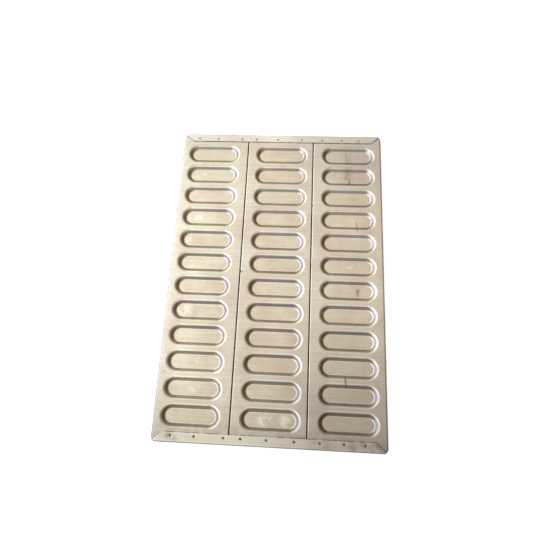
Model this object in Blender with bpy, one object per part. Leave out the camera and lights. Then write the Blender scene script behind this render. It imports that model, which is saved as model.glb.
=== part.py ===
"""Baking tray of three pressed sheet panels, in metres, +Z up.

The tray lies flat with its long side along Y. Its origin is under its middle, on the surface that
the well floors rest on. Round-ended wells are pressed into each panel. The panels' inner edges are
folded down and hooked into each other, their outer edges are rolled round a rim wire, and at each
short end a folded strip wraps the wire and clamps the panels, held by a row of rivets.
"""
import math

import bmesh
import bpy
from mathutils import Vector

# Driving dimensions
TRAY_LENGTH = 0.600
TRAY_WIDTH = 0.400
PANEL_SHEET = 0.0008
STRIP_SHEET = 0.0008
CLEARANCE = 0.0003  # between any two pieces that touch

WELL_WIDTH = 0.0428  # across the mouth, along Y
WELL_DEPTH = 0.0065
MOUTH_ROUNDING = 0.0070  # where the land turns down into a wall
FLOOR_ROUNDING = 0.0035  # where a wall turns into the floor
WALL_SLOPE = math.radians(45)
WELL_SPACING = 0.0036  # flat land between one mouth and the next
END_LAND = 0.0035  # least flat land between a strip and the nearest mouth
SIDE_LAND = 0.0129  # mean flat land at each end of a well
WELL_SHIFTS = (-0.0027, 0.0021, 0.0019)  # of each panel's wells from the panel's middle
ROW_SHIFT = -0.0010  # of the rows from the tray's middle

WIRE_DIAMETER = 0.0045
WIRE_CORNER = 0.0040  # radius of the wire's centre line at a corner
ROLL_TURN = math.radians(270)
CORNER_OPENING = 0.0016  # between a rolled side and a strip, outside a corner

SEAM_SHIFT = -0.0006  # of the centre panel from the tray's middle
CENTRE_TRIM = 0.0018  # centre panel narrower than a third of the tray
SEAM_BEND = 0.0022  # outer radius of the folded edges
SEAM_DEPTH = 0.0050  # from the land's top to the tongue's edge
SEAM_LIP = 0.0022  # height of the hook's lip above its turn

STRIP_WIDTH = 0.0172
STRIP_MITRE = 0.0195  # from the tray's side to the end of a strip's inner edge
LOWER_LEG = 0.0150  # from the tray's end to the lower leg's edge
LEG_BEND = 0.0008  # inner radius of the turn into the lower leg
RIVET_INSET = 0.0114  # from the tray's end
RIVET_SHANK = 0.0024
RIVET_HEAD = 0.0042
HEAD_HEIGHT = 0.0007
# Rivets along each strip, for the three panels, as shares of half a panel's width
FRONT_RIVETS = ((-0.50, 0.11, 0.86), (-0.70, -0.04, 0.67), (-0.69, -0.09, 0.43))
REAR_RIVETS = ((-0.52, 0.05, 0.79), (-0.76, -0.10, 0.63), (-0.74, -0.16, 0.34))

END_STEPS = 6  # facets round a well's end
ROLL_STEPS = 9
BEND_STEPS = 2  # facets in a quarter turn
CORNER_STEPS = 2
RIVET_SIDES = 8
SAME_PLACE = 1e-6

# Sizes that follow
PANEL_NAMES = ("left_panel", "centre_panel", "right_panel")
PANEL_WIDTH = TRAY_WIDTH / len(PANEL_NAMES)
HALF_LENGTH = TRAY_LENGTH / 2
HALF_WIDTH = TRAY_WIDTH / 2
QUARTER = math.pi / 2

ROLL_RADIUS = WIRE_DIAMETER / 2 + CLEARANCE + PANEL_SHEET
LAND_TOP = max(WELL_DEPTH + PANEL_SHEET, 2 * ROLL_RADIUS)
WRAP_RADIUS = WIRE_DIAMETER / 2 + CLEARANCE + STRIP_SHEET
WIRE_X = HALF_WIDTH - ROLL_RADIUS
WIRE_Y = HALF_LENGTH - WRAP_RADIUS
WIRE_HEIGHT = LAND_TOP - ROLL_RADIUS
CORNER_X = WIRE_X - WIRE_CORNER
CORNER_Y = WIRE_Y - WIRE_CORNER
HALF_OPENING = CORNER_OPENING / 2 / (WIRE_CORNER + ROLL_RADIUS)
SIDE_SWEEP = QUARTER / 2 - HALF_OPENING
STRIP_SWEEP = QUARTER / 2 + HALF_OPENING

STRIP_TOP = LAND_TOP + CLEARANCE + STRIP_SHEET
LEG_FACE = LAND_TOP - PANEL_SHEET - CLEARANCE - STRIP_SHEET
RIVET_HOLE = RIVET_SHANK / 2 + CLEARANCE

CENTRE_HALF = (PANEL_WIDTH - CENTRE_TRIM) / 2
SEAMS = (SEAM_SHIFT - CENTRE_HALF, SEAM_SHIFT + CENTRE_HALF)
PANEL_EDGES = (-HALF_WIDTH, *SEAMS, HALF_WIDTH)
FOLD_OFFSET = CLEARANCE / 2 + SEAM_BEND
FOLD_END = HALF_LENGTH - LOWER_LEG - 2 * CLEARANCE

ROW_PITCH = WELL_WIDTH + WELL_SPACING
ROW_ROOM = TRAY_LENGTH - 2 * (STRIP_WIDTH + END_LAND) - WELL_WIDTH
ROWS = int(ROW_ROOM / ROW_PITCH) + 1


def metal(name, colour, roughness):
    """A metal with the given base colour, in linear values."""
    material = bpy.data.materials.new(name)
    material.use_nodes = True
    shader = material.node_tree.nodes["Principled BSDF"]
    shader.inputs["Base Color"].default_value = (*colour, 1)
    shader.inputs["Metallic"].default_value = 1
    shader.inputs["Roughness"].default_value = roughness
    return material


def add_piece(name, data, tray, material):
    """A named piece of the tray with its own material."""
    piece = bpy.data.objects.new(name, data)
    piece.parent = tray
    bpy.context.scene.collection.objects.link(piece)
    if not data.materials:
        data.materials.append(material)
    return piece


def smooth_mesh(name, bm):
    """The mesh of bm, shaded smooth over its rounded bends."""
    mesh = bpy.data.meshes.new(name)
    bm.to_mesh(mesh)
    bm.free()
    mesh.shade_smooth()
    mesh.set_sharp_from_angle(angle=math.radians(50))
    return mesh


def add_sheet(name, bm, thickness, tray, material):
    """A sheet piece whose outer face is the surface in bm."""
    bmesh.ops.remove_doubles(bm, verts=bm.verts, dist=SAME_PLACE)
    bmesh.ops.recalc_face_normals(bm, faces=bm.faces)
    top = max(bm.faces, key=lambda face: face.calc_center_median().z)
    if top.normal.z < 0:
        bmesh.ops.reverse_faces(bm, faces=bm.faces)
    piece = add_piece(name, smooth_mesh(name, bm), tray, material)
    solidify = piece.modifiers.new("sheet", "SOLIDIFY")
    solidify.thickness = thickness
    solidify.offset = -1
    solidify.use_even_offset = True


def arc(x, y, radius, start, end, steps):
    """Points on an arc, both ends included."""
    angles = [start + (end - start) * i / steps for i in range(steps + 1)]
    return [(x + radius * math.cos(a), y + radius * math.sin(a)) for a in angles]


def outline(bm, points, z):
    """A closed ring of edges through the points, edge i ending at point i."""
    verts = [bm.verts.new((x, y, z)) for x, y in points]
    return [bm.edges.new((verts[i - 1], verts[i])) for i in range(len(verts))]


def rivet_hole(bm, x, y, z):
    """The ring of edges round a rivet's hole in a sheet."""
    turn = 2 * math.pi
    return outline(bm, arc(x, y, RIVET_HOLE, 0, turn, RIVET_SIDES)[1:], z)


def fill(bm, rings):
    """Flat faces inside the first ring and outside the others."""
    edges = [edge for ring in rings for edge in ring]
    bmesh.ops.triangle_fill(bm, use_beauty=True, edges=edges)


def outward(co):
    """The level direction from the nearest point of the flat land to co, over a side or corner."""
    x = math.copysign(max(abs(co.x) - CORNER_X, 0), co.x)
    y = math.copysign(max(abs(co.y) - CORNER_Y, 0), co.y)
    return Vector((x, y, 0)).normalized()


def bend(bm, edges, section, direction=outward):
    """Carry the edges along a section of (out, up) places, out being along direction(vertex)."""
    for (out_0, up_0), (out_1, up_1) in zip(section, section[1:]):
        made = bmesh.ops.extrude_edge_only(bm, edges=edges)["geom"]
        verts = {v for v in made if isinstance(v, bmesh.types.BMVert)}
        for vert in verts:
            vert.co += direction(vert.co) * (out_1 - out_0)
            vert.co.z += up_1 - up_0
        edges = [e for e in made if isinstance(e, bmesh.types.BMEdge) and verts.issuperset(e.verts)]
    return edges


def well_outline(x, y, inset):
    """The round-ended outline of a well at the given inset from its mouth."""
    reach = (PANEL_WIDTH - WELL_WIDTH) / 2 - SIDE_LAND
    radius = WELL_WIDTH / 2 - inset
    right = arc(x + reach, y, radius, -QUARTER, QUARTER, END_STEPS)
    left = arc(x - reach, y, radius, QUARTER, 3 * QUARTER, END_STEPS)
    return right + left


def wall_section():
    """Places down a well's wall, as (inset from the mouth, drop from the land)."""
    lowest = WALL_SLOPE - QUARTER
    mouth = arc(0, MOUTH_ROUNDING, MOUTH_ROUNDING, -QUARTER, lowest, BEND_STEPS)
    floor = arc(0, FLOOR_ROUNDING, FLOOR_ROUNDING, -QUARTER, lowest, BEND_STEPS)
    straight = WELL_DEPTH - mouth[-1][1] - floor[-1][1]
    run = mouth[-1][0] + floor[-1][0] + straight / math.tan(WALL_SLOPE)
    return mouth + [(run - x, WELL_DEPTH - y) for x, y in reversed(floor)]


def press_well(bm, x, y):
    """Walls and floor of one well. Returns the ring of edges round its mouth."""
    wall = wall_section()
    rings = [outline(bm, well_outline(x, y, inset), LAND_TOP - drop) for inset, drop in wall]
    for upper, lower in zip(rings, rings[1:]):
        bmesh.ops.bridge_loops(bm, edges=upper + lower)
    bmesh.ops.edgeloop_fill(bm, edges=rings[-1])
    return rings[0]


def rim_side():
    """The wire's path along the right side, from the front end to the rear end."""
    corner = arc(CORNER_X, CORNER_Y, WIRE_CORNER, 0, SIDE_SWEEP, CORNER_STEPS)
    corner += arc(CORNER_X, CORNER_Y, WIRE_CORNER, SIDE_SWEEP, QUARTER, CORNER_STEPS)[1:]
    return [(x, -y) for x, y in reversed(corner)] + corner


def seam_side(x):
    """A panel's land along a seam, from the front end to the rear end."""
    return [(x, y) for y in (-WIRE_Y, -FOLD_END, FOLD_END, WIRE_Y)]


def fold_section(hooked):
    """Section of a seam's edge: a tongue, or a hook that turns under the other panel's tongue."""
    section = [(x, y - SEAM_BEND) for x, y in arc(0, 0, SEAM_BEND, QUARTER, 0, BEND_STEPS)]
    if not hooked:
        return section + [(SEAM_BEND, -SEAM_DEPTH)]
    turn = PANEL_SHEET / 2 + CLEARANCE
    middle = (SEAM_BEND + turn, turn - SEAM_DEPTH - 2 * CLEARANCE)
    section += arc(*middle, turn, math.pi, 2 * math.pi, 2 * BEND_STEPS)
    return section + [(SEAM_BEND + 2 * turn, middle[1] + SEAM_LIP)]


def rivet_places():
    """Each rivet's name and its place on the tray."""
    places = []
    for end, side, shares in (("front", -1, FRONT_RIVETS), ("rear", 1, REAR_RIVETS)):
        y = side * (HALF_LENGTH - RIVET_INSET)
        for index, panel_shares in enumerate(shares):
            left, right = PANEL_EDGES[index:index + 2]
            for share in panel_shares:
                number = sum(name.startswith(end) for name, x, y_made in places) + 1
                x = (left + right) / 2 + share * (right - left) / 2
                places.append((f"{end}_rivet_{number}", x, y))
    return places


def add_panel(index, tray, material):
    """One pressed panel: its land, its wells, and the bent edges at its two long sides."""
    left, right = PANEL_EDGES[index:index + 2]
    at_left, at_right = index == 0, index == len(PANEL_NAMES) - 1
    right_side = rim_side() if at_right else seam_side(right - FOLD_OFFSET)
    left_side = [(-x, y) for x, y in rim_side()] if at_left else seam_side(left + FOLD_OFFSET)
    bm = bmesh.new()
    border = outline(bm, right_side + left_side[::-1], LAND_TOP)

    middle = (left + right) / 2
    well_x = middle + WELL_SHIFTS[index]
    first_y = ROW_SHIFT - (ROWS - 1) * ROW_PITCH / 2
    mouths = [press_well(bm, well_x, first_y + row * ROW_PITCH) for row in range(ROWS)]
    holes = [rivet_hole(bm, x, y, LAND_TOP) for _, x, y in rivet_places() if left < x < right]
    fill(bm, [border, *mouths, *holes])

    centres = {edge: sum((v.co for v in edge.verts), Vector()) / 2 for edge in border}
    rolled = [e for e, co in centres.items() if abs(outward(co).x) > math.cos(SIDE_SWEEP)]
    folds = [e for e in border if max(abs(v.co.y) for v in e.verts) < FOLD_END + SAME_PLACE]
    if rolled:
        roll = arc(0, -ROLL_RADIUS, ROLL_RADIUS, QUARTER, QUARTER - ROLL_TURN, ROLL_STEPS)
        bend(bm, rolled, roll)
    for fold in folds:
        side = 1 if centres[fold].x > middle else -1
        bend(bm, [fold], fold_section(side > 0), lambda co: Vector((side, 0, 0)))
    add_sheet(PANEL_NAMES[index], bm, PANEL_SHEET, tray, material)


def add_strip(name, side, tray, material):
    """An end strip: mitred upper leg, wrap round the wire, and lower leg under the panels."""
    inner_x, inner_y = HALF_WIDTH - STRIP_MITRE, HALF_LENGTH - STRIP_WIDTH
    corner = arc(CORNER_X, CORNER_Y, WIRE_CORNER, STRIP_SWEEP, QUARTER, CORNER_STEPS)
    path = [*corner, *((-x, y) for x, y in reversed(corner))]
    points = [(-inner_x, inner_y), (inner_x, inner_y), *path]
    bm = bmesh.new()
    upper = outline(bm, [(x, side * y) for x, y in points], STRIP_TOP)
    rivets = [(x, y) for _, x, y in rivet_places() if y * side > 0]
    fill(bm, [upper, *(rivet_hole(bm, x, y, STRIP_TOP) for x, y in rivets)])

    drop = WIRE_HEIGHT - STRIP_TOP
    wrap = arc(0, -WRAP_RADIUS, WRAP_RADIUS, QUARTER, 0, BEND_STEPS)
    wrap += arc(0, drop, WRAP_RADIUS, 0, -QUARTER, BEND_STEPS)
    lowest = bend(bm, upper[3:], wrap)
    straight = [e for e in lowest if max(abs(v.co.x) for v in e.verts) < CORNER_X + SAME_PLACE]
    leg_drop = LEG_FACE - STRIP_TOP
    inside = arc(0, drop, WRAP_RADIUS, -QUARTER, -2 * QUARTER, BEND_STEPS)
    turn_x = -WRAP_RADIUS - LEG_BEND
    inside += arc(turn_x, leg_drop - LEG_BEND, LEG_BEND, 0, QUARTER, BEND_STEPS)
    bend(bm, straight, inside, lambda co: Vector((0, side, 0)))

    leg_outer, leg_inner = WIRE_Y + turn_x, HALF_LENGTH - LOWER_LEG
    leg = [(-CORNER_X, leg_outer), (CORNER_X, leg_outer), (CORNER_X, leg_inner), (-CORNER_X, leg_inner)]
    lower = outline(bm, [(x, side * y) for x, y in leg], LEG_FACE)
    fill(bm, [lower, *(rivet_hole(bm, x, y, LEG_FACE) for x, y in rivets)])
    add_sheet(name, bm, STRIP_SHEET, tray, material)


def add_wire(tray, material):
    """The rim wire: one closed loop of round wire with bent corners."""
    corner = arc(CORNER_X, CORNER_Y, WIRE_CORNER, 0, QUARTER, 2 * CORNER_STEPS)
    half = corner + [(-x, y) for x, y in reversed(corner)]
    path = half + [(-x, -y) for x, y in half]
    curve = bpy.data.curves.new("rim_wire", "CURVE")
    curve.dimensions = "3D"
    curve.bevel_depth = WIRE_DIAMETER / 2
    curve.bevel_resolution = 2
    spline = curve.splines.new("POLY")
    spline.points.add(len(path) - 1)
    for point, (x, y) in zip(spline.points, path):
        point.co = (x, y, WIRE_HEIGHT, 1)
    spline.use_cyclic_u = True
    add_piece("rim_wire", curve, tray, material)


def rivet_mesh():
    """A rivet on its own axis: lower head, shank and upper head."""
    bottom = LEG_FACE - CLEARANCE - HEAD_HEIGHT
    top = STRIP_TOP + CLEARANCE + HEAD_HEIGHT
    head, shank = RIVET_HEAD / 2, RIVET_SHANK / 2
    lower = [(0, bottom), (head, bottom), (head, bottom + HEAD_HEIGHT)]
    stem = [(shank, bottom + HEAD_HEIGHT), (shank, top - HEAD_HEIGHT)]
    upper = [(head, top - HEAD_HEIGHT), (head, top), (0, top)]
    bm = bmesh.new()
    verts = [bm.verts.new((r, 0, z)) for r, z in lower + stem + upper]
    edges = [bm.edges.new(pair) for pair in zip(verts, verts[1:])]
    axis, turn = (0, 0, 1), 2 * math.pi
    bmesh.ops.spin(bm, geom=verts + edges, axis=axis, cent=(0, 0, 0), angle=turn, steps=RIVET_SIDES)
    bmesh.ops.remove_doubles(bm, verts=bm.verts, dist=SAME_PLACE)
    bmesh.ops.recalc_face_normals(bm, faces=bm.faces)
    return smooth_mesh("rivet", bm)


for old in list(bpy.data.objects):
    bpy.data.objects.remove(old)
root = bpy.data.objects.new("baguette_tray", None)
bpy.context.scene.collection.objects.link(root)

panel_steel = metal("aluminised_steel", (0.62, 0.57, 0.48), 0.42)
for panel in range(len(PANEL_NAMES)):
    add_panel(panel, root, panel_steel)
strip_steel = metal("aluminised_strip", (0.66, 0.61, 0.52), 0.38)
add_strip("front_end_strip", -1, root, strip_steel)
add_strip("rear_end_strip", 1, root, strip_steel)
add_wire(root, metal("galvanised_wire", (0.45, 0.44, 0.42), 0.45))
rivet_shape = rivet_mesh()
rivet_steel = metal("dull_rivet_steel", (0.30, 0.27, 0.22), 0.55)
for rivet_name, rivet_x, rivet_y in rivet_places():
    rivet = add_piece(rivet_name, rivet_shape, root, rivet_steel)
    rivet.location = (rivet_x, rivet_y, 0)
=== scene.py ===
"""Looks of a worn baguette tray: three pressed panels hooked together, rolled round a rim wire at
their long sides and clamped by a riveted strip at each short end."""
import math

import bmesh
import bpy
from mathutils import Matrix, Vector


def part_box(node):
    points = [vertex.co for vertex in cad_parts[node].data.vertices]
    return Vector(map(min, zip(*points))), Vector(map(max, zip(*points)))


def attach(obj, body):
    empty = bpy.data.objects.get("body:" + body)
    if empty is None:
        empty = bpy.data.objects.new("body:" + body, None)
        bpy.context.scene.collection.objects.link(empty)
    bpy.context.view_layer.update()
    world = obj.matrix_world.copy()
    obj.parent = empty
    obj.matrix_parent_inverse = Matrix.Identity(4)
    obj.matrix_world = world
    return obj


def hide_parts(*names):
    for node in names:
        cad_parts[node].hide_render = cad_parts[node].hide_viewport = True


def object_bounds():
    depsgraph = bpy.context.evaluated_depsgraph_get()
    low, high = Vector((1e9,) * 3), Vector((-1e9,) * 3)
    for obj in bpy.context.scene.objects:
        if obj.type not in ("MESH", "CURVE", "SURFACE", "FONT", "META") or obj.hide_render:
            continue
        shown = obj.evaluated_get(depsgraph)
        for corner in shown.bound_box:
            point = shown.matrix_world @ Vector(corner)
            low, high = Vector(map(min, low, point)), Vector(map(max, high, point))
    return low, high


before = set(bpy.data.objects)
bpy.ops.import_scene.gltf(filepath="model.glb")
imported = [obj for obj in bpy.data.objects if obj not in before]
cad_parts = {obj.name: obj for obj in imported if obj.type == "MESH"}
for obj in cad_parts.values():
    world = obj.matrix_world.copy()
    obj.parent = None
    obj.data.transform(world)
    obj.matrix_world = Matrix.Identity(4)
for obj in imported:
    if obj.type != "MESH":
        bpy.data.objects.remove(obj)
cad_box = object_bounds()


# Pressed panels. Each is one piece of thin aluminised steel sheet with twelve shallow round-ended
# wells pressed into it. The inner long edges are folded down, one with a hook that turns under the
# next panel's tongue, and the outer ones are rolled round the rim wire.
SHEET = 0.0008
FIT = 0.0003  # clearance between pieces
SAME_PLACE = 1e-6
QUARTER = math.pi / 2
SHARP_ANGLE = math.radians(50)
LAND_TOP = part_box("left_panel")[1].z
HALF_WIDTH, HALF_LENGTH = cad_box[1].x, cad_box[1].y
SEAMS = [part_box(name)[0].x - FIT / 2 for name in ("centre_panel", "right_panel")]
PANEL_EDGES = [-HALF_WIDTH, *SEAMS, HALF_WIDTH]

WELL_ROWS = 12
WELL_PITCH = 0.0464
WELL_WIDTH = 0.0428
WELL_DEPTH = LAND_TOP - SHEET
SIDE_LAND = 0.0129  # mean flat land at each end of a well
WELL_LENGTH = 2 * HALF_WIDTH / 3 - 2 * SIDE_LAND
WELL_SHIFTS = (-0.0027, 0.0021, 0.0019)  # of each panel's wells from the panel's middle
ROW_SHIFT = -0.0010  # of the rows from the tray's middle
MOUTH_ROUNDING = 0.0070
FLOOR_ROUNDING = 0.0035
WALL_SLOPE = math.radians(45)
END_STEPS, MOUTH_STEPS, FLOOR_STEPS = 28, 8, 6

WIRE_RADIUS = (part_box("rim_wire")[1].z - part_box("rim_wire")[0].z) / 2
ROLL_RADIUS = WIRE_RADIUS + FIT + SHEET
WIRE_X, WIRE_Y = HALF_WIDTH - ROLL_RADIUS, HALF_LENGTH - ROLL_RADIUS
WIRE_HEIGHT = LAND_TOP - ROLL_RADIUS
WIRE_CORNER = 0.0040  # radius of the wire's centre line at a corner
CORNER_X, CORNER_Y = WIRE_X - WIRE_CORNER, WIRE_Y - WIRE_CORNER
CORNER_OPENING = 0.0016  # between a rolled side and a strip, outside a corner
HALF_OPENING = CORNER_OPENING / 2 / (WIRE_CORNER + ROLL_RADIUS)
SIDE_SWEEP, STRIP_SWEEP = QUARTER / 2 - HALF_OPENING, QUARTER / 2 + HALF_OPENING
ROLL_TURN = 3 * QUARTER
ROLL_STEPS, CORNER_STEPS = 27, 5

FOLD_RADIUS = 0.0022
FOLD_DEPTH = 0.0050  # from the land's top to the tongue's edge
FOLD_LIP = 0.0022  # height of the hook's lip above its turn
FOLD_STEPS, HOOK_STEPS = 8, 10
LOWER_LEG = 0.0150  # from the tray's end to the edge of a strip's lower leg
FOLD_END = HALF_LENGTH - LOWER_LEG - 2 * FIT
RIVET_COUNT = 9  # at each end
RIVET_HOLE = 0.0015
HOLE_SIDES = 16


def arc(x, y, radius, start, end, steps):
    """Points on an arc, both ends included."""
    angles = [start + (end - start) * i / steps for i in range(steps + 1)]
    return [(x + radius * math.cos(a), y + radius * math.sin(a)) for a in angles]


def outline(bm, points, z):
    """A closed ring of edges through the points."""
    verts = [bm.verts.new((x, y, z)) for x, y in points]
    return [bm.edges.new((verts[i - 1], verts[i])) for i in range(len(verts))]


def fill(bm, rings):
    """Flat faces inside the first ring and outside the others."""
    bmesh.ops.triangle_fill(bm, use_beauty=True, edges=[e for ring in rings for e in ring])


def outward(co):
    """The level direction in which a side or corner of the tray is bent at co."""
    x = math.copysign(max(abs(co.x) - CORNER_X, 0), co.x)
    y = math.copysign(max(abs(co.y) - CORNER_Y, 0), co.y)
    return Vector((x, y, 0)).normalized()


def bend(bm, edges, section, direction=outward):
    """Carry the edges along a section of (out, up) places."""
    for (out_0, up_0), (out_1, up_1) in zip(section, section[1:]):
        made = bmesh.ops.extrude_edge_only(bm, edges=edges)["geom"]
        verts = {v for v in made if isinstance(v, bmesh.types.BMVert)}
        for vert in verts:
            vert.co += direction(vert.co) * (out_1 - out_0)
            vert.co.z += up_1 - up_0
        edges = [e for e in made if isinstance(e, bmesh.types.BMEdge) and verts.issuperset(e.verts)]
    return edges


def well_outline(x, y, inset):
    """The round-ended outline of a well at the given inset from its mouth."""
    reach, radius = (WELL_LENGTH - WELL_WIDTH) / 2, WELL_WIDTH / 2 - inset
    right = arc(x + reach, y, radius, -QUARTER, QUARTER, END_STEPS)
    return right + arc(x - reach, y, radius, QUARTER, 3 * QUARTER, END_STEPS)


def wall_section():
    """Inset and drop from a well's mouth to its floor, round the upper and the lower bend."""
    lowest = WALL_SLOPE - QUARTER
    mouth = arc(0, MOUTH_ROUNDING, MOUTH_ROUNDING, -QUARTER, lowest, MOUTH_STEPS)
    floor = arc(0, FLOOR_ROUNDING, FLOOR_ROUNDING, -QUARTER, lowest, FLOOR_STEPS)
    straight = WELL_DEPTH - mouth[-1][1] - floor[-1][1]
    run = mouth[-1][0] + floor[-1][0] + straight / math.tan(WALL_SLOPE)
    return mouth + [(run - x, WELL_DEPTH - y) for x, y in reversed(floor)]


def press_well(bm, x, y):
    """Walls and floor of one well. Returns the ring of edges round its mouth."""
    wall = wall_section()
    rings = [outline(bm, well_outline(x, y, inset), LAND_TOP - drop) for inset, drop in wall]
    for upper, lower in zip(rings, rings[1:]):
        bmesh.ops.bridge_loops(bm, edges=upper + lower)
    bmesh.ops.edgeloop_fill(bm, edges=rings[-1])
    return rings[0]


def rim_side():
    """The land's outline along the right side, round both of its corners."""
    corner = arc(CORNER_X, CORNER_Y, WIRE_CORNER, 0, SIDE_SWEEP, CORNER_STEPS)
    corner += arc(CORNER_X, CORNER_Y, WIRE_CORNER, SIDE_SWEEP, QUARTER, CORNER_STEPS)[1:]
    return [(x, -y) for x, y in reversed(corner)] + corner


def seam_side(x):
    """The land's outline along a seam."""
    return [(x, y) for y in (-WIRE_Y, -FOLD_END, FOLD_END, WIRE_Y)]


def fold_section(hooked):
    """Section of a seam's edge: a tongue, or a hook that turns under the other panel's tongue."""
    section = [(x, y - FOLD_RADIUS) for x, y in arc(0, 0, FOLD_RADIUS, QUARTER, 0, FOLD_STEPS)]
    if not hooked:
        return section + [(FOLD_RADIUS, -FOLD_DEPTH)]
    turn = SHEET / 2 + FIT
    x, y = FOLD_RADIUS + turn, turn - FOLD_DEPTH - 2 * FIT
    section += arc(x, y, turn, math.pi, 2 * math.pi, HOOK_STEPS)
    return section + [(x + turn, y + FOLD_LIP)]


def sheet_piece(name, bm, thickness, material, node):
    """Finish a sheet whose upper face is in bm, and put it in place of its CAD node."""
    bmesh.ops.remove_doubles(bm, verts=bm.verts, dist=SAME_PLACE)
    bmesh.ops.recalc_face_normals(bm, faces=bm.faces)
    top = max(bm.faces, key=lambda face: face.calc_center_median().z)
    if top.normal.z < 0:
        bmesh.ops.reverse_faces(bm, faces=bm.faces)
    mesh = bpy.data.meshes.new(name)
    bm.to_mesh(mesh)
    bm.free()
    mesh.shade_smooth()
    mesh.materials.append(material)
    piece = bpy.data.objects.new(name, mesh)
    bpy.context.scene.collection.objects.link(piece)
    solidify = piece.modifiers.new("sheet", "SOLIDIFY")
    solidify.thickness = thickness
    solidify.offset = -1
    solidify.use_even_offset = True
    mesh.set_sharp_from_angle(angle=SHARP_ANGLE)
    normals = piece.modifiers.new("flat land", "WEIGHTED_NORMAL")
    normals.keep_sharp = True
    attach(piece, "root")
    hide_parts(node)


def rivets(end):
    """The places of one end's rivets, from left to right."""
    boxes = [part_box(f"{end}_rivet_{n}") for n in range(1, RIVET_COUNT + 1)]
    return [((low.x + high.x) / 2, (low.y + high.y) / 2) for low, high in boxes]


def rivet_hole(bm, x, y, z):
    """The ring of edges round a rivet's hole in a sheet."""
    return outline(bm, arc(x, y, RIVET_HOLE, 0, 4 * QUARTER, HOLE_SIDES)[1:], z)


def colour(code):
    """A linear colour from an sRGB hex value."""
    parts = [int(code[i:i + 2], 16) / 255 for i in (1, 3, 5)]
    return tuple(p / 12.92 if p < 0.04045 else ((p + 0.055) / 1.055) ** 2.4 for p in parts) + (1,)


def add_node(tree, kind, values=None, links=None, stops=None, **settings):
    """A node with its settings, its input values, the sockets linked to it and its ramp's stops."""
    made = tree.nodes.new(kind)
    for name, value in settings.items():
        setattr(made, name, value)
    for name, value in (values or {}).items():
        made.inputs[name].default_value = value
    for name, socket in (links or {}).items():
        tree.links.new(socket, made.inputs[name])
    if stops:
        ramp = made.color_ramp
        while len(ramp.elements) < len(stops):
            ramp.elements.new(0.5)
        for element, (place, _) in zip(ramp.elements, stops):
            element.position = place
        for element, (_, code) in zip(ramp.elements, stops):
            element.color = colour(code)
    return made


# Darker, tinted patches over the tray's corners: x, y, reach, how much at most, and its tint
CORNER_DARKENINGS = (
    (0.16, -0.36, 0.34, 0.62, "#86827b"), (-0.22, -0.35, 0.22, 0.50, "#8e8b78"),
    (0.18, 0.34, 0.24, 0.45, "#9b9b96"), (-0.18, 0.34, 0.17, 0.32, "#a9a797"),
)
DARKENING_CORE = 0.06  # distance from its middle within which it is full
# Heights between which the painted shade on a well's wall sets in, below the land and above
# the floor; the floors' film fades out over the lower pair
UPPER_WALL_SHADE = (LAND_TOP - 0.0005, LAND_TOP - 0.0028)
LOWER_WALL_SHADE_AND_FILM = (SHEET + 0.0003, SHEET + 0.0016)
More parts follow.
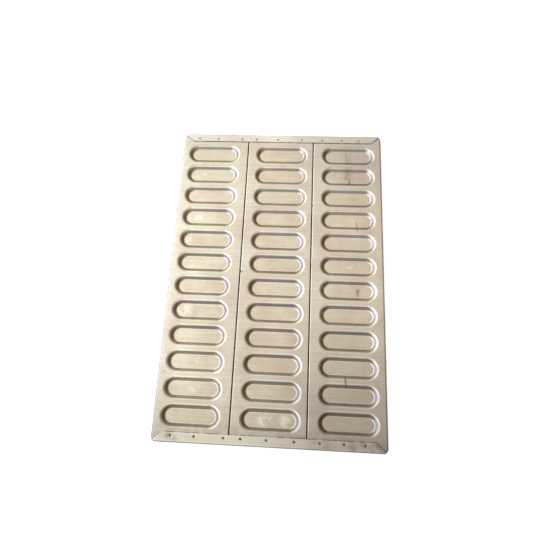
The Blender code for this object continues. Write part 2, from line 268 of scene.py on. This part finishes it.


# Aluminised steel sheet, rolled and then pressed. It is a warm pale metal with a satin shine that
# heat and grease have mottled, with a faint rolling grain and small dark specks. Its joints, edges
# and wells' walls carry brown painted shade, and some wells' floors carry painted reflections.
def aluminised_sheet(name, pale, taupe, soil_and_shade, painted_reflections=()):
    """The sheet's material, with the given function's soil and painted shade and painted reflections."""
    material = bpy.data.materials.new(name)
    material.use_nodes = True
    tree = material.node_tree
    shader = tree.nodes["Principled BSDF"]
    shader.inputs["Metallic"].default_value = 1
    place = add_node(tree, "ShaderNodeTexCoord").outputs["Object"]

    # heat mottling in patches of about 60 mm
    mottle = add_node(
        tree, "ShaderNodeTexNoise", {"Scale": 16, "Detail": 4, "Roughness": 0.6}, {"Vector": place}
    ).outputs[0]
    mottled = add_node(
        tree, "ShaderNodeValToRGB", links={0: mottle}, stops=((0.36, taupe), (0.64, pale))
    ).outputs[0]

    # rolling grain along X, drawn 3 to 5 mm wide as the real one is too fine to show
    stretched = add_node(
        tree, "ShaderNodeMapping", {"Scale": (10, 240, 240)}, {"Vector": place}
    ).outputs[0]
    grain = add_node(
        tree, "ShaderNodeTexNoise", {"Scale": 1, "Detail": 3, "Roughness": 0.7}, {"Vector": stretched}
    ).outputs[0]
    grain_shade = add_node(
        tree, "ShaderNodeValToRGB", links={0: grain}, stops=((0.3, "#f3f0eb"), (0.7, "#ffffff"))
    ).outputs[0]
    surface = add_node(
        tree, "ShaderNodeMix", {0: 1}, {6: mottled, 7: grain_shade},
        data_type="RGBA", blend_type="MULTIPLY",
    ).outputs[2]

    # grease film in blotches of 10 to 30 mm
    film = add_node(
        tree, "ShaderNodeTexNoise", {"Scale": 34, "Detail": 5, "Roughness": 0.65, "Distortion": 0.6},
        {"Vector": place},
    ).outputs[0]
    film = add_node(tree, "ShaderNodeMapRange", {1: 0.58, 2: 0.76, 4: 0.30}, {0: film}).outputs[0]
    surface = add_node(
        tree, "ShaderNodeMix", {7: colour("#a3978a")}, {0: film, 6: surface}, data_type="RGBA",
    ).outputs[2]

    # darker and tinted towards the corners, grey at the right and a little green at the left
    for x, y, reach, most, tint in CORNER_DARKENINGS:
        darkening = add_node(
            tree, "ShaderNodeVectorMath", {1: (x, y, LAND_TOP)}, {0: place}, operation="DISTANCE"
        ).outputs["Value"]
        darkening = add_node(
            tree, "ShaderNodeMapRange", {1: reach, 2: DARKENING_CORE, 4: most}, {0: darkening},
            interpolation_type="SMOOTHSTEP",
        ).outputs[0]
        surface = add_node(
            tree, "ShaderNodeMix", {7: colour(tint)}, {0: darkening, 6: surface}, data_type="RGBA",
        ).outputs[2]

    # film baked on in the wells, thin and warm on the floors; the brown on the walls is painted shade
    height = add_node(tree, "ShaderNodeSeparateXYZ", links={0: place}).outputs[2]
    upper = add_node(
        tree, "ShaderNodeMapRange", {1: UPPER_WALL_SHADE[0], 2: UPPER_WALL_SHADE[1]}, {0: height}
    ).outputs[0]
    lower = add_node(
        tree, "ShaderNodeMapRange", {1: LOWER_WALL_SHADE_AND_FILM[0], 2: LOWER_WALL_SHADE_AND_FILM[1]}, {0: height}
    ).outputs[0]
    floors = add_node(tree, "ShaderNodeMath", {0: 1}, {1: lower}, operation="SUBTRACT").outputs[0]
    surface = add_node(
        tree, "ShaderNodeMix", {7: colour("#fffbf7")}, {0: floors, 6: surface},
        data_type="RGBA", blend_type="MULTIPLY",
    ).outputs[2]
    # painted shade: the wells' walls darkened towards brown
    wall_shade = add_node(tree, "ShaderNodeMath", links={0: upper, 1: lower}, operation="MULTIPLY").outputs[0]
    wall_shade = add_node(tree, "ShaderNodeMath", {1: 0.24}, {0: wall_shade}, operation="MULTIPLY").outputs[0]
    surface = add_node(
        tree, "ShaderNodeMix", {7: colour("#857d72")}, {0: wall_shade, 6: surface}, data_type="RGBA",
    ).outputs[2]

    # painted reflections: bright patches in some wells' floors, broken up in blotches of about 10 mm
    if painted_reflections:
        broken = add_node(
            tree, "ShaderNodeTexNoise", {"Scale": 90, "Detail": 3, "Distortion": 1}, {"Vector": place}
        ).outputs[0]
        broken = add_node(tree, "ShaderNodeMapRange", {1: 0.40, 2: 0.62}, {0: broken}).outputs[0]
    for x, y, radius in painted_reflections:
        patch = add_node(
            tree, "ShaderNodeVectorMath", {1: (x, y, SHEET)}, {0: place}, operation="DISTANCE"
        ).outputs["Value"]
        patch = add_node(
            tree, "ShaderNodeMapRange", {1: radius, 2: radius * 0.3, 4: 0.55}, {0: patch}
        ).outputs[0]
        patch = add_node(
            tree, "ShaderNodeMath", links={0: patch, 1: broken}, operation="MULTIPLY"
        ).outputs[0]
        surface = add_node(
            tree, "ShaderNodeMix", {7: colour("#f2efe6")}, {0: patch, 6: surface}, data_type="RGBA",
        ).outputs[2]

    # dark specks up to 2 mm across, in some of the cells of 24 mm
    cells = add_node(tree, "ShaderNodeTexVoronoi", {"Scale": 42}, {"Vector": place})
    speck = add_node(
        tree, "ShaderNodeMapRange", {1: 0.05, 2: 0.025}, {0: cells.outputs["Distance"]}
    ).outputs[0]
    chosen = add_node(tree, "ShaderNodeSeparateColor", links={0: cells.outputs["Color"]}).outputs[0]
    chosen = add_node(
        tree, "ShaderNodeMath", {1: 0.70}, {0: chosen}, operation="GREATER_THAN"
    ).outputs[0]
    soiled_and_shaded = add_node(
        tree, "ShaderNodeMath", links={0: speck, 1: chosen}, operation="MULTIPLY"
    ).outputs[0]
    # the soil and painted shade that the given function draws join the specks
    soiled_and_shaded = add_node(
        tree, "ShaderNodeMath", links={0: soiled_and_shaded, 1: soil_and_shade(tree, place)}, operation="MAXIMUM"
    ).outputs[0]
    surface = add_node(
        tree, "ShaderNodeMix", {7: colour("#4a4036")}, {0: soiled_and_shaded, 6: surface}, data_type="RGBA",
    ).outputs[2]
    tree.links.new(surface, shader.inputs["Base Color"])

    # satin shine along the grain, duller under soil, painted shade and film
    dull = add_node(tree, "ShaderNodeMath", {1: 0.4}, {0: soiled_and_shaded}, operation="MULTIPLY").outputs[0]
    dull = add_node(tree, "ShaderNodeMath", links={0: dull, 1: film}, operation="ADD").outputs[0]
    dull = add_node(tree, "ShaderNodeMath", {1: 0.5}, {0: dull}, operation="MULTIPLY").outputs[0]
    satin = add_node(
        tree, "ShaderNodeMapRange", {1: 0.3, 2: 0.7, 3: 0.18, 4: 0.23}, {0: grain}
    ).outputs[0]
    rough = add_node(tree, "ShaderNodeMath", links={0: satin, 1: dull}, operation="ADD").outputs[0]
    tree.links.new(rough, shader.inputs["Roughness"])

    # the sheet's own unevenness, a few tenths of a millimetre over 50 mm
    wave = add_node(
        tree, "ShaderNodeTexNoise", {"Scale": 20, "Detail": 2, "Roughness": 0.5}, {"Vector": place}
    ).outputs[0]
    bump = add_node(tree, "ShaderNodeBump", {"Strength": 0.8, "Distance": 0.0006}, {"Height": wave})
    tree.links.new(bump.outputs[0], shader.inputs["Normal"])
    return material


def soil_and_shade_line(tree, distance, core, edge, ragged):
    """Soil and painted shade, full out to core metres of the given distance and gone at edge metres."""
    line = add_node(tree, "ShaderNodeMapRange", {1: edge, 2: core}, {0: distance}).outputs[0]
    return add_node(
        tree, "ShaderNodeMath", links={0: line, 1: ragged}, operation="MULTIPLY"
    ).outputs[0]


def heaviest(tree, soil_and_shade):
    """The most soil and painted shade that any of the given kinds leaves at a place."""
    most = soil_and_shade[0]
    for other in soil_and_shade[1:]:
        most = add_node(
            tree, "ShaderNodeMath", links={0: most, 1: other}, operation="MAXIMUM"
        ).outputs[0]
    return most


STRIP_WIDTH = 0.0172
STRIP_MITRE = 0.0195  # from the tray's side to the end of a strip's inner edge
STRIP_INNER, STRIP_REACH = HALF_LENGTH - STRIP_WIDTH, HALF_WIDTH - STRIP_MITRE
MITRE_END = math.sqrt(0.5) * WIRE_CORNER  # of a mitre's outer end, from a corner's centre


def strip_edge(tree, axes):
    """Distance in plan from the end strips' inner edges and mitres."""
    across, along = (
        add_node(tree, "ShaderNodeMath", links={0: axis}, operation="ABSOLUTE").outputs[0]
        for axis in (axes.outputs[0], axes.outputs[1])
    )
    mitre = Vector((CORNER_X + MITRE_END - STRIP_REACH, CORNER_Y + MITRE_END - STRIP_INNER))
    mitre.normalize()
    plan = add_node(tree, "ShaderNodeCombineXYZ", links={0: across, 1: along}).outputs[0]
    plan = add_node(
        tree, "ShaderNodeVectorMath", {1: (STRIP_REACH, STRIP_INNER, 0)}, {0: plan},
        operation="SUBTRACT",
    ).outputs[0]
    beside = add_node(
        tree, "ShaderNodeVectorMath", {1: (mitre.y, -mitre.x, 0)}, {0: plan}, operation="DOT_PRODUCT"
    ).outputs["Value"]
    inside = add_node(
        tree, "ShaderNodeMath", {0: STRIP_INNER}, {1: along}, operation="SUBTRACT"
    ).outputs[0]
    edge = add_node(
        tree, "ShaderNodeMath", links={0: inside, 1: beside}, operation="MAXIMUM"
    ).outputs[0]
    return add_node(tree, "ShaderNodeMath", links={0: edge}, operation="ABSOLUTE").outputs[0]


# Where the painted shade along each edge is full and where it is gone, as distances from that edge
STRIP_EDGE_SHADE = (0.0003, 0.0012)
SEAM_SHADE = (0.0005, 0.0011)
SIDE_SHADE = (0.0007, 0.0020)
SEAM_LINE = 0.0006  # from a seam to the middle of its painted shade
FRONT_DARKENING_REACH = 0.022  # of the brown darkening from the front strip's edge
STREAK_WANDER = 0.004  # of a streak to either side
# Scorched streaks along Y in the right panel: x, y, half their length and width, and how dark
STREAKS = (
    (0.1318, 0.252, 0.015, 0.0020, 0.42), (0.1326, 0.215, 0.014, 0.0026, 0.50),
    (0.1376, 0.199, 0.008, 0.0034, 0.60), (0.1350, 0.216, 0.016, 0.0120, 0.26),
    (0.1350, 0.248, 0.014, 0.0120, 0.16), (0.1500, 0.109, 0.009, 0.0034, 0.36),
    (0.1515, 0.094, 0.006, 0.0030, 0.30), (0.1528, -0.027, 0.009, 0.0040, 0.60),
    (0.1304, -0.189, 0.011, 0.0026, 0.72),
)
# Burnt-on spots on the three panels: x, y, radius
SPOTS = (
    (-0.1887, -0.1835, 0.0016), (-0.0661, -0.1379, 0.0019), (-0.0640, 0.0056, 0.0026),
    (0.0656, 0.1437, 0.0021), (0.1004, 0.2049, 0.0022), (-0.1560, 0.2300, 0.0014),
)


def panel_soil_and_shade(tree, place):
    """Painted shade along the strips, sides and seams, darkening by the front strip, streaks and spots.
    """
    axes = add_node(tree, "ShaderNodeSeparateXYZ", links={0: place})
    ragged = add_node(
        tree, "ShaderNodeTexNoise", {"Scale": 90, "Detail": 3}, {"Vector": place}
    ).outputs[0]
    ragged = add_node(
        tree, "ShaderNodeMapRange", {1: 0.35, 2: 0.6, 3: 0.35, 4: 1}, {0: ragged}
    ).outputs[0]
    edge = strip_edge(tree, axes)
    # painted shadow along the strips' inner edges and mitres, where they step up from the land
    soil_and_shade = [soil_and_shade_line(tree, edge, *STRIP_EDGE_SHADE, ragged)]

    # painted shade along the rolled sides, where they turn down
    side = add_node(
        tree, "ShaderNodeMath", links={0: axes.outputs[0]}, operation="ABSOLUTE"
    ).outputs[0]
    core, gone = (HALF_WIDTH - distance for distance in SIDE_SHADE)
    soil_and_shade.append(add_node(
        tree, "ShaderNodeMapRange", {1: gone, 2: core, 4: 0.85}, {0: side}
    ).outputs[0])

    # the land browner and darker beside the front strip
    front_darkening = add_node(
        tree, "ShaderNodeMapRange", {1: FRONT_DARKENING_REACH, 2: 0, 4: 0.32}, {0: edge}
    ).outputs[0]
    front = add_node(
        tree, "ShaderNodeMath", {1: 0}, {0: axes.outputs[1]}, operation="LESS_THAN"
    ).outputs[0]
    front_darkening = add_node(
        tree, "ShaderNodeMath", links={0: front_darkening, 1: front}, operation="MULTIPLY"
    ).outputs[0]
    soil_and_shade.append(add_node(
        tree, "ShaderNodeMath", links={0: front_darkening, 1: ragged}, operation="MULTIPLY"
    ).outputs[0])

    # painted shade in each seam's gap, drawn just left of the seam
    for seam in SEAMS:
        gap = add_node(
            tree, "ShaderNodeMath", {1: seam - SEAM_LINE}, {0: axes.outputs[0]},
            operation="SUBTRACT",
        ).outputs[0]
        gap = add_node(tree, "ShaderNodeMath", links={0: gap}, operation="ABSOLUTE").outputs[0]
        soil_and_shade.append(soil_and_shade_line(tree, gap, *SEAM_SHADE, ragged))

    # streaks that wander a little across their length
    wander = add_node(
        tree, "ShaderNodeTexNoise", {"Scale": 60, "Detail": 2}, {"Vector": place}
    ).outputs[0]
    wander = add_node(
        tree, "ShaderNodeMapRange", {3: -STREAK_WANDER, 4: STREAK_WANDER}, {0: wander}
    ).outputs[0]
    across = add_node(
        tree, "ShaderNodeMath", links={0: axes.outputs[0], 1: wander}, operation="ADD"
    ).outputs[0]
    for x, y, half_length, half_width, strength in STREAKS:
        gap = add_node(tree, "ShaderNodeMath", {1: x}, {0: across}, operation="SUBTRACT").outputs[0]
        gap = add_node(tree, "ShaderNodeMath", links={0: gap}, operation="ABSOLUTE").outputs[0]
        along = add_node(
            tree, "ShaderNodeMath", {1: y}, {0: axes.outputs[1]}, operation="SUBTRACT"
        ).outputs[0]
        along = add_node(tree, "ShaderNodeMath", links={0: along}, operation="ABSOLUTE").outputs[0]
        ends = add_node(
            tree, "ShaderNodeMapRange", {1: half_length, 2: half_length * 0.5, 4: strength},
            {0: along},
        ).outputs[0]
        soil_and_shade.append(soil_and_shade_line(tree, gap, 0, half_width, ends))

    for x, y, radius in SPOTS:
        spot = add_node(
            tree, "ShaderNodeVectorMath", {1: (x, y, LAND_TOP)}, {0: place}, operation="DISTANCE"
        ).outputs["Value"]
        soil_and_shade.append(add_node(
            tree, "ShaderNodeMapRange", {1: radius, 2: radius * 0.4, 4: 0.8}, {0: spot}
        ).outputs[0])

    return heaviest(tree, soil_and_shade)


# Painted reflections, bright patches in some wells' floors: x, y, radius
FLOOR_REFLECTIONS = (
    (-0.0085, -0.2565, 0.0170), (0.0270, -0.2570, 0.0130), (-0.1300, -0.1630, 0.0110),
    (-0.1345, -0.2100, 0.0110), (-0.1640, -0.0710, 0.0190), (-0.1730, 0.0676, 0.0100),
    (-0.1560, 0.1140, 0.0100), (-0.1500, 0.2070, 0.0100), (0.1380, 0.0250, 0.0080),
)
panel_steel = aluminised_sheet("aluminised_steel_sheet", "#d8d4c7", "#cdc2b7", panel_soil_and_shade, FLOOR_REFLECTIONS)

panel_names = ("left", "centre", "right")
for index, name in enumerate(panel_names):
    left, right = PANEL_EDGES[index:index + 2]
    middle = (left + right) / 2
    at_left, at_right = index == 0, index == len(panel_names) - 1
    fold_offset = FIT / 2 + FOLD_RADIUS
    right_side = rim_side() if at_right else seam_side(right - fold_offset)
    left_side = [(-x, y) for x, y in rim_side()] if at_left else seam_side(left + fold_offset)
    bm = bmesh.new()
    border = outline(bm, right_side + left_side[::-1], LAND_TOP)
    rows = [ROW_SHIFT + (row - (WELL_ROWS - 1) / 2) * WELL_PITCH for row in range(WELL_ROWS)]
    mouths = [press_well(bm, middle + WELL_SHIFTS[index], y) for y in rows]
    places = [p for end in ("front", "rear") for p in rivets(end) if left < p[0] < right]
    fill(bm, [border, *mouths, *(rivet_hole(bm, x, y, LAND_TOP) for x, y in places)])

    centres = {edge: sum((v.co for v in edge.verts), Vector()) / 2 for edge in border}
    rolled = [e for e, co in centres.items() if abs(outward(co).x) > math.cos(SIDE_SWEEP)]
    straight = [e for e in border if max(abs(v.co.y) for v in e.verts) < CORNER_Y]
    folds = [e for e in straight if e not in rolled]
    if rolled:
        roll = arc(0, -ROLL_RADIUS, ROLL_RADIUS, QUARTER, QUARTER - ROLL_TURN, ROLL_STEPS)
        bend(bm, rolled, roll)
    for fold in folds:
        side = 1 if centres[fold].x > middle else -1
        bend(bm, [fold], fold_section(side > 0), lambda co: Vector((side, 0, 0)))
    sheet_piece(f"{name}_pressed_panel", bm, SHEET, panel_steel, f"{name}_panel")


# Rim wire. It is one closed loop of drawn steel wire with bent corners, lying inside the panels'
# rolled sides and the strips. Only its corners show, through the gaps at the mitres.
corner = arc(CORNER_X, CORNER_Y, WIRE_CORNER, 0, QUARTER, 2 * CORNER_STEPS)
half = corner + [(-x, y) for x, y in reversed(corner)]
path = half + [(-x, -y) for x, y in half]
curve = bpy.data.curves.new("bent_rim_wire", "CURVE")
curve.dimensions = "3D"
curve.bevel_depth = WIRE_RADIUS
curve.bevel_resolution = 4
spline = curve.splines.new("POLY")
spline.points.add(len(path) - 1)
for point, (x, y) in zip(spline.points, path):
    point.co = (x, y, WIRE_HEIGHT, 1)
spline.use_cyclic_u = True
spline.use_smooth = True

# Drawn steel wire, darkened by baking and by painted shade: a dull grey brown that sets the corners'
# gaps off as shade does.
wire_steel = bpy.data.materials.new("drawn_steel_wire")
wire_steel.use_nodes = True
tree = wire_steel.node_tree
shader = tree.nodes["Principled BSDF"]
shader.inputs["Metallic"].default_value = 1
place = add_node(tree, "ShaderNodeTexCoord").outputs["Object"]
patches = add_node(
    tree, "ShaderNodeTexNoise", {"Scale": 220, "Detail": 3}, {"Vector": place}
).outputs[0]
tint = add_node(
    tree, "ShaderNodeValToRGB", links={0: patches}, stops=((0.35, "#3a332b"), (0.7, "#7a7064"))
)
tree.links.new(tint.outputs[0], shader.inputs["Base Color"])
dull = add_node(tree, "ShaderNodeMapRange", {3: 0.62, 4: 0.42}, {0: patches})
tree.links.new(dull.outputs[0], shader.inputs["Roughness"])
curve.materials.append(wire_steel)

wire = bpy.data.objects.new("bent_rim_wire", curve)
bpy.context.scene.collection.objects.link(wire)
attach(wire, "root")
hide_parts("rim_wire")


# End strips. Each is a strip of the same sheet, folded lengthwise round the rim wire so that one
# leg lies on the panels' ends and one under them. The upper leg is mitred at the corners.
STRIP_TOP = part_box("front_end_strip")[1].z
LEG_FACE = LAND_TOP - 2 * SHEET - FIT  # the lower leg's underside
LEG_TURN = 0.0008  # inner radius of the turn into the lower leg
LEG_INNER = HALF_LENGTH - LOWER_LEG
WRAP_STEPS, TURN_STEPS = 9, 5

# Where painted shade is full and where it is gone, as distances from a strip's inner and outer edges
INNER_EDGE_SHADE = (0.0002, 0.0008)
OUTER_EDGE_SHADE = (0.0003, 0.0014)
# Radius of the full grease and painted shade round a rivet, and how much further its ring reaches
RING_GREASE_AND_SHADE = {"front": 0.0018, "rear": 0.0014}
RING_FADE = 0.0009
# Stains on the front strip: x, y, radius, and how dark
STAINS = (
    (-0.1700, -0.2880, 0.0100, 0.50), (-0.1590, -0.2910, 0.0090, 0.45),
    (-0.1840, -0.2850, 0.0120, 0.22), (0.1860, -0.2920, 0.0220, 0.75),
    (0.1500, -0.2960, 0.0340, 0.50), (0.0900, -0.2960, 0.0300, 0.40),
)


def strip_soil_and_shade(tree, place):
    """Painted shade along the inner edges and outer ones, stains, and grease and painted shade at
    rivets.
    """
    axes = add_node(tree, "ShaderNodeSeparateXYZ", links={0: place})
    ragged = add_node(
        tree, "ShaderNodeTexNoise", {"Scale": 90, "Detail": 3}, {"Vector": place}
    ).outputs[0]
    ragged = add_node(
        tree, "ShaderNodeMapRange", {1: 0.35, 2: 0.6, 3: 0.2, 4: 0.9}, {0: ragged}
    ).outputs[0]
    # painted shade along the strips' inner edges and mitres
    soil_and_shade = [soil_and_shade_line(tree, strip_edge(tree, axes), *INNER_EDGE_SHADE, ragged)]

    # painted shade along the strips' outer edges, where they fold down round the wire
    tip = add_node(
        tree, "ShaderNodeMath", links={0: axes.outputs[1]}, operation="ABSOLUTE"
    ).outputs[0]
    core, gone = (HALF_LENGTH - distance for distance in OUTER_EDGE_SHADE)
    soil_and_shade.append(add_node(
        tree, "ShaderNodeMapRange", {1: gone, 2: core, 4: 0.8}, {0: tip}
    ).outputs[0])

    for x, y, radius, strength in STAINS:
        stain = add_node(
            tree, "ShaderNodeVectorMath", {1: (x, y, STRIP_TOP)}, {0: place}, operation="DISTANCE"
        ).outputs["Value"]
        stain = add_node(
            tree, "ShaderNodeMapRange", {1: radius, 2: radius * 0.2, 4: strength}, {0: stain}
        ).outputs[0]
        soil_and_shade.append(add_node(
            tree, "ShaderNodeMath", links={0: stain, 1: ragged}, operation="MULTIPLY"
        ).outputs[0])

    # rings of grease and painted shade round the rivets
    for end, core in RING_GREASE_AND_SHADE.items():
        for x, y in rivets(end):
            ring = add_node(
                tree, "ShaderNodeVectorMath", {1: (x, y, STRIP_TOP)}, {0: place},
                operation="DISTANCE",
            ).outputs["Value"]
            soil_and_shade.append(soil_and_shade_line(tree, ring, core, core + RING_FADE, ragged))
    return heaviest(tree, soil_and_shade)


strip_steel = aluminised_sheet("aluminised_steel_strip", "#e6e2d8", "#dcd7cc", strip_soil_and_shade)

for end, side in (("front", -1), ("rear", 1)):
    bm = bmesh.new()
    corner = arc(CORNER_X, CORNER_Y, WIRE_CORNER, STRIP_SWEEP, QUARTER, CORNER_STEPS)
    path = [*corner, *((-x, y) for x, y in reversed(corner))]
    points = [(-STRIP_REACH, STRIP_INNER), (STRIP_REACH, STRIP_INNER), *path]
    upper = outline(bm, [(x, side * y) for x, y in points], STRIP_TOP)
    fill(bm, [upper, *(rivet_hole(bm, x, y, STRIP_TOP) for x, y in rivets(end))])

    # round the wire along the whole outer edge, then in under the panels between the corners
    drop, leg_drop = WIRE_HEIGHT - STRIP_TOP, LEG_FACE - STRIP_TOP
    wrap = arc(0, -ROLL_RADIUS, ROLL_RADIUS, QUARTER, 0, WRAP_STEPS)
    wrap += arc(0, drop, ROLL_RADIUS, 0, -QUARTER, WRAP_STEPS)
    lowest = bend(bm, upper[3:], wrap)
    inner_limit = CORNER_X + SAME_PLACE
    straight = [e for e in lowest if max(abs(v.co.x) for v in e.verts) < inner_limit]
    turn_x = -ROLL_RADIUS - LEG_TURN
    inside = arc(0, drop, ROLL_RADIUS, -QUARTER, -2 * QUARTER, WRAP_STEPS)
    inside += arc(turn_x, leg_drop - LEG_TURN, LEG_TURN, 0, QUARTER, TURN_STEPS)
    bend(bm, straight, inside, lambda co: Vector((0, side, 0)))

    leg = [
        (-CORNER_X, WIRE_Y + turn_x), (CORNER_X, WIRE_Y + turn_x),
        (CORNER_X, LEG_INNER), (-CORNER_X, LEG_INNER),
    ]
    lower = outline(bm, [(x, side * y) for x, y in leg], LEG_FACE)
    fill(bm, [lower, *(rivet_hole(bm, x, y, LEG_FACE) for x, y in rivets(end))])
    sheet_piece(f"{end}_folded_strip", bm, SHEET, strip_steel, f"{end}_end_strip")


# Rivets. Each is a small round-headed steel rivet through a strip's two legs and the panel between
# them, its upper head dished in the middle by the setting tool and its lower head spread flat.
SHANK_RADIUS = 0.0012
HEAD_HEIGHT = 0.0007
HEAD_EDGE = 0.00022  # height over which a head's edge is rounded
RIVET_SIDES = 24


# Rivet steel, dark at the front end with baked-on grease and painted shade, cleaner at the rear end.
def rivet_finish(name, soiled_and_shaded, worn):
    """Dull steel in patches of a few millimetres, from the soiled and shaded colour to the worn one."""
    material = bpy.data.materials.new(name)
    material.use_nodes = True
    tree = material.node_tree
    shader = tree.nodes["Principled BSDF"]
    shader.inputs["Metallic"].default_value = 1
    place = add_node(tree, "ShaderNodeTexCoord").outputs["Object"]
    patches = add_node(
        tree, "ShaderNodeTexNoise", {"Scale": 500, "Detail": 3}, {"Vector": place}
    ).outputs[0]
    tint = add_node(
        tree, "ShaderNodeValToRGB", links={0: patches}, stops=((0.35, soiled_and_shaded), (0.7, worn))
    )
    tree.links.new(tint.outputs[0], shader.inputs["Base Color"])
    dull = add_node(tree, "ShaderNodeMapRange", {3: 0.6, 4: 0.4}, {0: patches})
    tree.links.new(dull.outputs[0], shader.inputs["Roughness"])
    return material


rivet_steel = {
    "front": rivet_finish("greased_and_shaded_rivet_steel", "#4b4136", "#81766a"),
    "rear": rivet_finish("rivet_steel", "#8f8577", "#beb5a7"),
}


def rivet_profile(low, high, radius):
    """Half a rivet's section, from the middle of its lower head to the middle of its upper one."""
    lower_head, upper_head = low + HEAD_HEIGHT, high - HEAD_HEIGHT
    flat_head = [(0, low), (radius * 0.9, low), (radius, low + HEAD_EDGE), (radius, lower_head)]
    shank = [(SHANK_RADIUS, lower_head), (SHANK_RADIUS, upper_head)]
    head_side = [(radius, upper_head), (radius, upper_head + HEAD_EDGE)]
    # places over the dished head, as shares of the radius and of the edge's height
    dish = [(0.86, 0.7), (0.62, 0), (0.42, 0.4), (0.22, 1.2), (0, 1.5)]
    dished_head = [(radius * out, high - HEAD_EDGE * drop) for out, drop in dish]
    return flat_head + shank + head_side + dished_head


for end, steel in rivet_steel.items():
    for number in range(1, RIVET_COUNT + 1):
        low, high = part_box(f"{end}_rivet_{number}")
        bm = bmesh.new()
        profile = rivet_profile(low.z, high.z, (high.x - low.x) / 2)
        verts = [bm.verts.new((r, 0, z)) for r, z in profile]
        edges = [bm.edges.new(pair) for pair in zip(verts, verts[1:])]
        bmesh.ops.spin(
            bm, geom=verts + edges, axis=(0, 0, 1), cent=(0, 0, 0), angle=4 * QUARTER,
            steps=RIVET_SIDES, use_merge=True,
        )
        bmesh.ops.remove_doubles(bm, verts=bm.verts, dist=SAME_PLACE)
        bmesh.ops.recalc_face_normals(bm, faces=bm.faces)
        middle = Vector(((low.x + high.x) / 2, (low.y + high.y) / 2, 0))
        bmesh.ops.translate(bm, verts=bm.verts, vec=middle)
        mesh = bpy.data.meshes.new(f"{end}_set_rivet_{number}")
        bm.to_mesh(mesh)
        bm.free()
        mesh.shade_smooth()
        mesh.set_sharp_from_angle(angle=SHARP_ANGLE)
        mesh.materials.append(steel)
        rivet = bpy.data.objects.new(mesh.name, mesh)
        bpy.context.scene.collection.objects.link(rivet)
        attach(rivet, "root")
        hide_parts(f"{end}_rivet_{number}")


# Floor, camera and light. The floor is plain and near white, and glows a little so that it stays
# even. The light is a plain studio, brightest and bluest at the left and warm and dim at the right,
# whose walls darken towards their foot.
CAMERA_PLACE = (0.0366, -0.2443, 0.8412)
CAMERA_TILT = (17.522, 2.814, 2.852)  # degrees about X, Y and Z
CAMERA_LENS = 31.57
FLOOR_REACH = 4
STUDIO_STRENGTH = 2.9

camera = bpy.data.objects.new("camera", bpy.data.cameras.new("camera"))
bpy.context.scene.collection.objects.link(camera)
bpy.context.scene.camera = camera
camera.data.sensor_width = 36
camera.data.lens = CAMERA_LENS
camera.location = CAMERA_PLACE
camera.rotation_euler = [math.radians(angle) for angle in CAMERA_TILT]

bm = bmesh.new()
bmesh.ops.create_grid(bm, x_segments=1, y_segments=1, size=FLOOR_REACH)
mesh = bpy.data.meshes.new("floor")
bm.to_mesh(mesh)
bm.free()
floor = bpy.data.objects.new("floor", mesh)
bpy.context.scene.collection.objects.link(floor)
floor_paint = bpy.data.materials.new("white_floor")
floor_paint.use_nodes = True
shader = floor_paint.node_tree.nodes["Principled BSDF"]
shader.inputs["Base Color"].default_value = colour("#f6f6f8")
shader.inputs["Roughness"].default_value = 0.9
shader.inputs["Emission Color"].default_value = colour("#fdfbff")
shader.inputs["Emission Strength"].default_value = 0.4
mesh.materials.append(floor_paint)

bpy.context.scene.view_settings.view_transform = "Standard"
world = bpy.data.worlds.new("studio")
bpy.context.scene.world = world
world.use_nodes = True
tree = world.node_tree
background = tree.nodes["Background"]
toward = add_node(tree, "ShaderNodeTexCoord").outputs["Generated"]
axes = add_node(tree, "ShaderNodeSeparateXYZ", links={0: toward})

# colour from the left wall over the ceiling to the right wall
sideways = add_node(tree, "ShaderNodeMapRange", {1: -1, 2: 1}, {0: axes.outputs[0]}).outputs[0]
window = add_node(tree, "ShaderNodeValToRGB", links={0: sideways}, stops=(
    (0.0, "#d6e2ff"), (0.13, "#e9f0ff"), (0.26, "#f8faff"), (0.35, "#e0e0da"), (0.40, "#bfbfb8"),
    (0.456, "#bdbab4"), (0.585, "#afaaa5"), (0.71, "#8a8580"), (0.82, "#746f68"), (1.0, "#5c564e"),
)).outputs[0]
# brightness from the front wall over the ceiling to the rear wall
lengthways = add_node(tree, "ShaderNodeMapRange", {1: -1, 2: 1}, {0: axes.outputs[1]}).outputs[0]
ceiling = add_node(tree, "ShaderNodeValToRGB", links={0: lengthways}, stops=(
    (0.0, "#ffffff"), (0.30, "#ffffff"), (0.40, "#f0f0f0"), (0.5, "#dcdcdc"), (0.60, "#e6e6e6"),
    (0.68, "#eeeeee"), (0.75, "#efefef"), (1.0, "#f6f6f6"),
)).outputs[0]
studio = add_node(
    tree, "ShaderNodeMix", {0: 1}, {6: window, 7: ceiling},
    data_type="RGBA", blend_type="MULTIPLY",
).outputs[2]
# colour at the foot of the walls, light blue at the left, grey in the middle, brown at the right
foot = add_node(tree, "ShaderNodeValToRGB", links={0: sideways}, stops=(
    (0.0, "#666b7d"), (0.12, "#616676"), (0.22, "#54575f"), (0.32, "#4a4b4f"), (0.4, "#48484a"),
    (0.6, "#4d4c4c"), (0.75, "#4b433b"), (1.0, "#42382e"),
)).outputs[0]
# height over the floor, tilted so that the foot is lowest at the left and at the rear
lift = add_node(
    tree, "ShaderNodeVectorMath", {1: (-0.30, 0.12, 1)}, {0: toward}, operation="DOT_PRODUCT"
).outputs["Value"]
shade = add_node(
    tree, "ShaderNodeMapRange", {1: -0.05, 2: 0.32, 3: 0.85, 4: 2.75}, {0: lift}
).outputs[0]
foot = add_node(
    tree, "ShaderNodeVectorMath", links={0: foot, 3: shade}, operation="SCALE"
).outputs[0]
above = add_node(
    tree, "ShaderNodeMapRange", {1: 0.45, 2: 0.72}, {0: lift}, interpolation_type="SMOOTHSTEP"
).outputs[0]
studio = add_node(
    tree, "ShaderNodeMix", links={0: above, 6: foot, 7: studio}, data_type="RGBA",
).outputs[2]
tree.links.new(studio, background.inputs["Color"])
background.inputs["Strength"].default_value = STUDIO_STRENGTH
